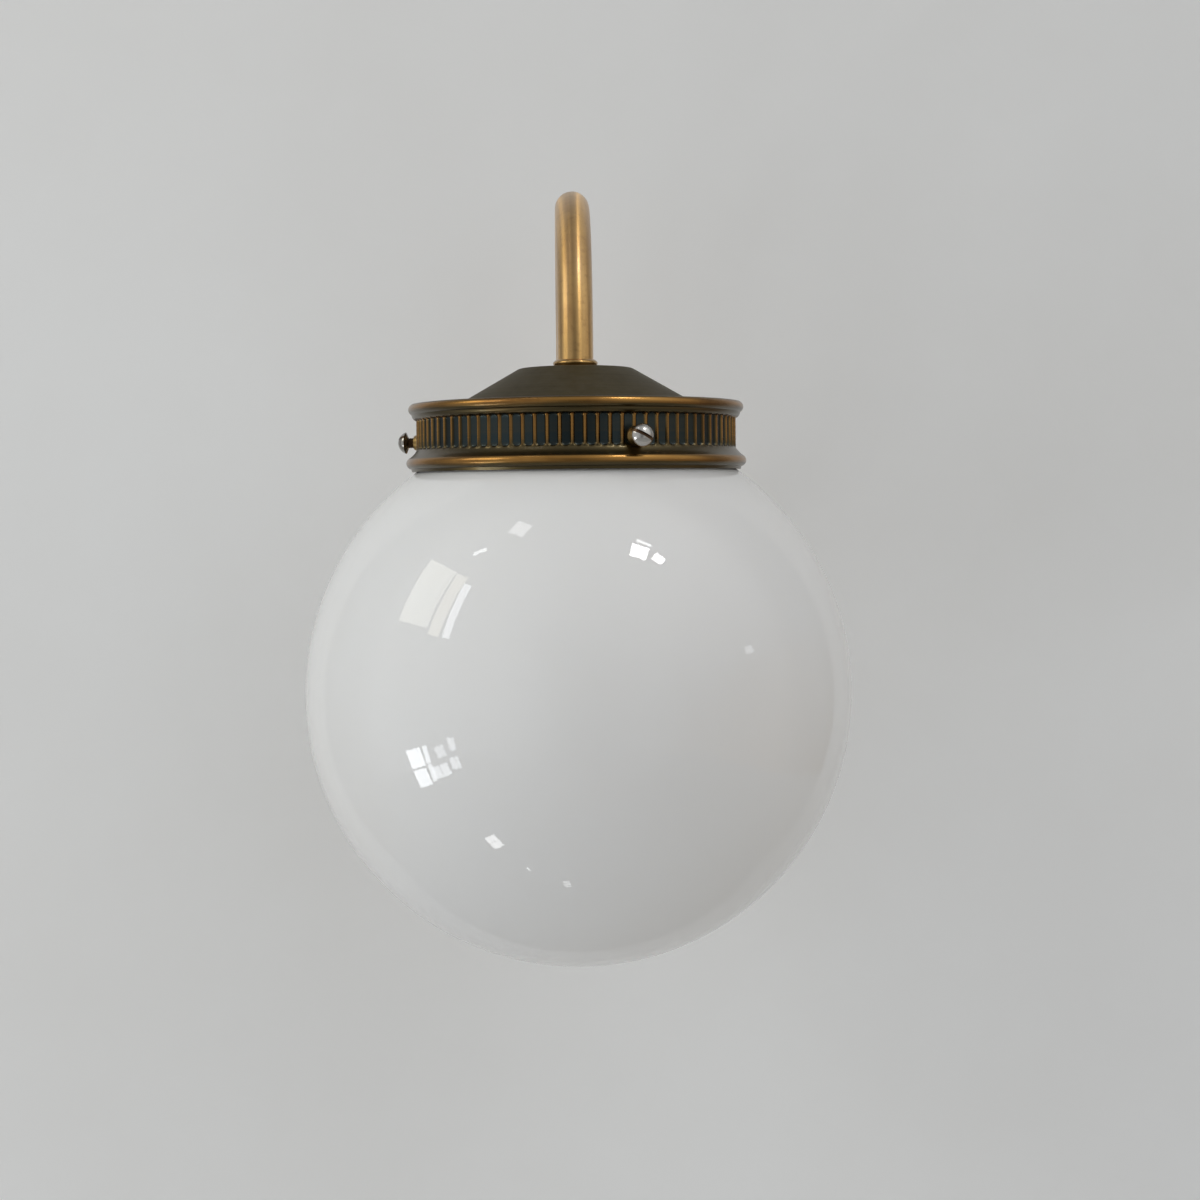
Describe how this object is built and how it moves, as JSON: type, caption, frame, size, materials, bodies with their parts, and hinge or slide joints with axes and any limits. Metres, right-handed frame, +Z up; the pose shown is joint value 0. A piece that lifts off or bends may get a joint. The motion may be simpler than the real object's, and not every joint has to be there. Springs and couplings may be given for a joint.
{
  "type": "wall lamp",
  "caption": "Wall lamp: an opal glass globe hangs from a fluted brass gallery on a swan-neck tube arm, with wall plate, bracket, lampholder, bulb and wiring.",
  "frame": {"origin": "middle of the two wall slots, on the wall", "axes": "+Z up, +Y into the wall, so the lamp stands out along -Y; +X to the right for someone who faces the wall"},
  "size_m": [0.15, 0.205, 0.2189],
  "materials": {
    "aged_brass": "polished and aged, brown in the shade",
    "satin_brown_brass": "satin, brown grey",
    "patinated_brass": "dark patina, worn to brass on beads and ridges",
    "dark_brass": "satin, dark",
    "plain_brass": "satin",
    "nickel": "nickel plate, lightly worn",
    "zinc_steel": "zinc plated",
    "opal_glass": "glossy opal white",
    "clear_glass": "clear",
    "black_glass": "gloss black",
    "lamp_cap_metal": "satin",
    "filament": "matt yellow coating",
    "porcelain": "glazed porcelain",
    "nylon": "matt",
    "brown_insulation": "satin",
    "blue_insulation": "satin",
    "green_yellow_insulation": "satin, striped"
  },
  "bodies": {
    "lamp_frame": {"wall_plate": "aged_brass", "wall_bracket": "zinc_steel", "wall_plate_screws": "nickel", "terminal_block": "nylon", "terminal_block_clamps": "plain_brass", "terminal_block_screws": "zinc_steel", "terminal_block_fixing_screw": "zinc_steel", "earth_screw": "zinc_steel", "earth_tag": "zinc_steel", "arm_wall_collar": "aged_brass", "arm_wall_nut": "zinc_steel", "arm_wall_lock_washer": "zinc_steel", "arm_wire_bush": "nylon", "swan_neck_arm": "aged_brass", "arm_gallery_collar": "aged_brass", "arm_gallery_nut": "zinc_steel", "arm_gallery_lock_washer": "zinc_steel", "gallery_cover": "satin_brown_brass", "gallery_band": "patinated_brass", "gallery_bushes": "dark_brass", "lampholder_cap": "plain_brass", "lampholder_barrel": "plain_brass", "lampholder_core": "porcelain", "lampholder_screw_shell": "plain_brass", "lampholder_centre_contact": "plain_brass", "lampholder_terminals": "plain_brass", "lampholder_terminal_screws": "zinc_steel", "lampholder_shade_ring": "plain_brass", "wire_live": "brown_insulation", "wire_neutral": "blue_insulation", "wire_earth": "green_yellow_insulation", "wire_bracket_earth": "green_yellow_insulation"},
    "globe": {"globe": "opal_glass"},
    "bulb": {"bulb_glass": "clear_glass", "bulb_screw_cap": "lamp_cap_metal", "bulb_insulator": "black_glass", "bulb_contact": "lamp_cap_metal", "bulb_stem": "clear_glass", "bulb_filaments": "filament"},
    "screw_front": {"gallery_screw_front": "nickel"},
    "screw_left": {"gallery_screw_left": "nickel"},
    "screw_rear": {"gallery_screw_rear": "nickel"}
  },
  "joints": [
    {"name": "globe_lower", "type": "slide", "parent": "lamp_frame", "child": "globe", "axis": [0, 0, -1], "range_m": [0, 0.1]},
    {"name": "bulb_withdraw", "type": "slide", "parent": "lamp_frame", "child": "bulb", "axis": [0, 0, -1], "range_m": [0, 0.026]},
    {"name": "screw_front_back_out", "type": "slide", "parent": "lamp_frame", "child": "screw_front", "axis": [0.3338, -0.9426, 0], "range_m": [0, 0.0042]},
    {"name": "screw_left_back_out", "type": "slide", "parent": "lamp_frame", "child": "screw_left", "axis": [-0.9833, 0.1822, 0], "range_m": [0, 0.0042]},
    {"name": "screw_rear_back_out", "type": "slide", "parent": "lamp_frame", "child": "screw_rear", "axis": [0.6494, 0.7604, 0], "range_m": [0, 0.0042]}
  ]
}
